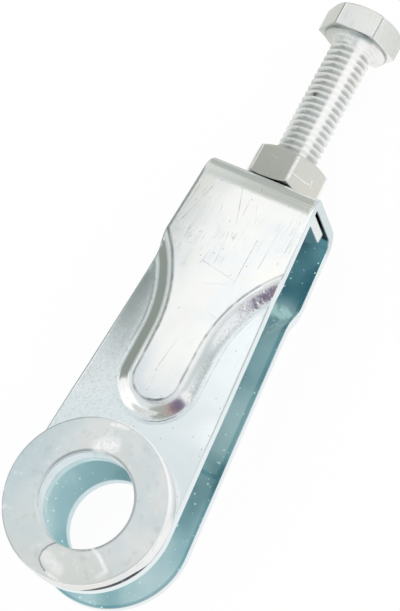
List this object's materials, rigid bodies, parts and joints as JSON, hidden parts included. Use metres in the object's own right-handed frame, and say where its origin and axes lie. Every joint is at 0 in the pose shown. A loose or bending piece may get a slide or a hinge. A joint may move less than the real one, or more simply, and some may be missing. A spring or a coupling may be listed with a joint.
{
  "type": "motorcycle chain adjuster",
  "caption": "Folded sheet-steel fork with an embossed tongue on each plate, an axle ring on the front plate, and a hexagon bolt with lock nut through the web to set chain tension.",
  "frame": {"origin": "centre of the ring's outer face, on the axle axis", "axes": "+X from the axle to the bolt head, +Z along the axle towards the side with the ring"},
  "size_m": [0.1152, 0.0286, 0.0218],
  "materials": {
    "zinc_sheet": "bright zinc with blue passivate, finely scratched",
    "zinc_ring": "zinc, satin",
    "zinc_plate": "zinc, satin",
    "zinc_nut": "zinc, satin",
    "zinc_bolt": "zinc, satin"
  },
  "bodies": {
    "fork": {"strap": "zinc_sheet", "axle_ring": "zinc_ring", "nut_plate": "zinc_plate"},
    "bolt": {"adjuster_bolt": "zinc_bolt"},
    "nut": {"lock_nut": "zinc_nut"}
  },
  "joints": [
    {"name": "bolt_feed", "type": "slide", "parent": "fork", "child": "bolt", "axis": [1, 0, 0], "range_m": [-0.024, 0.004]},
    {"name": "nut_turn", "type": "hinge", "parent": "fork", "child": "nut", "pos_m": [0.06765, 0, -0.0122], "axis": [1, 0, 0], "continuous": true}
  ]
}
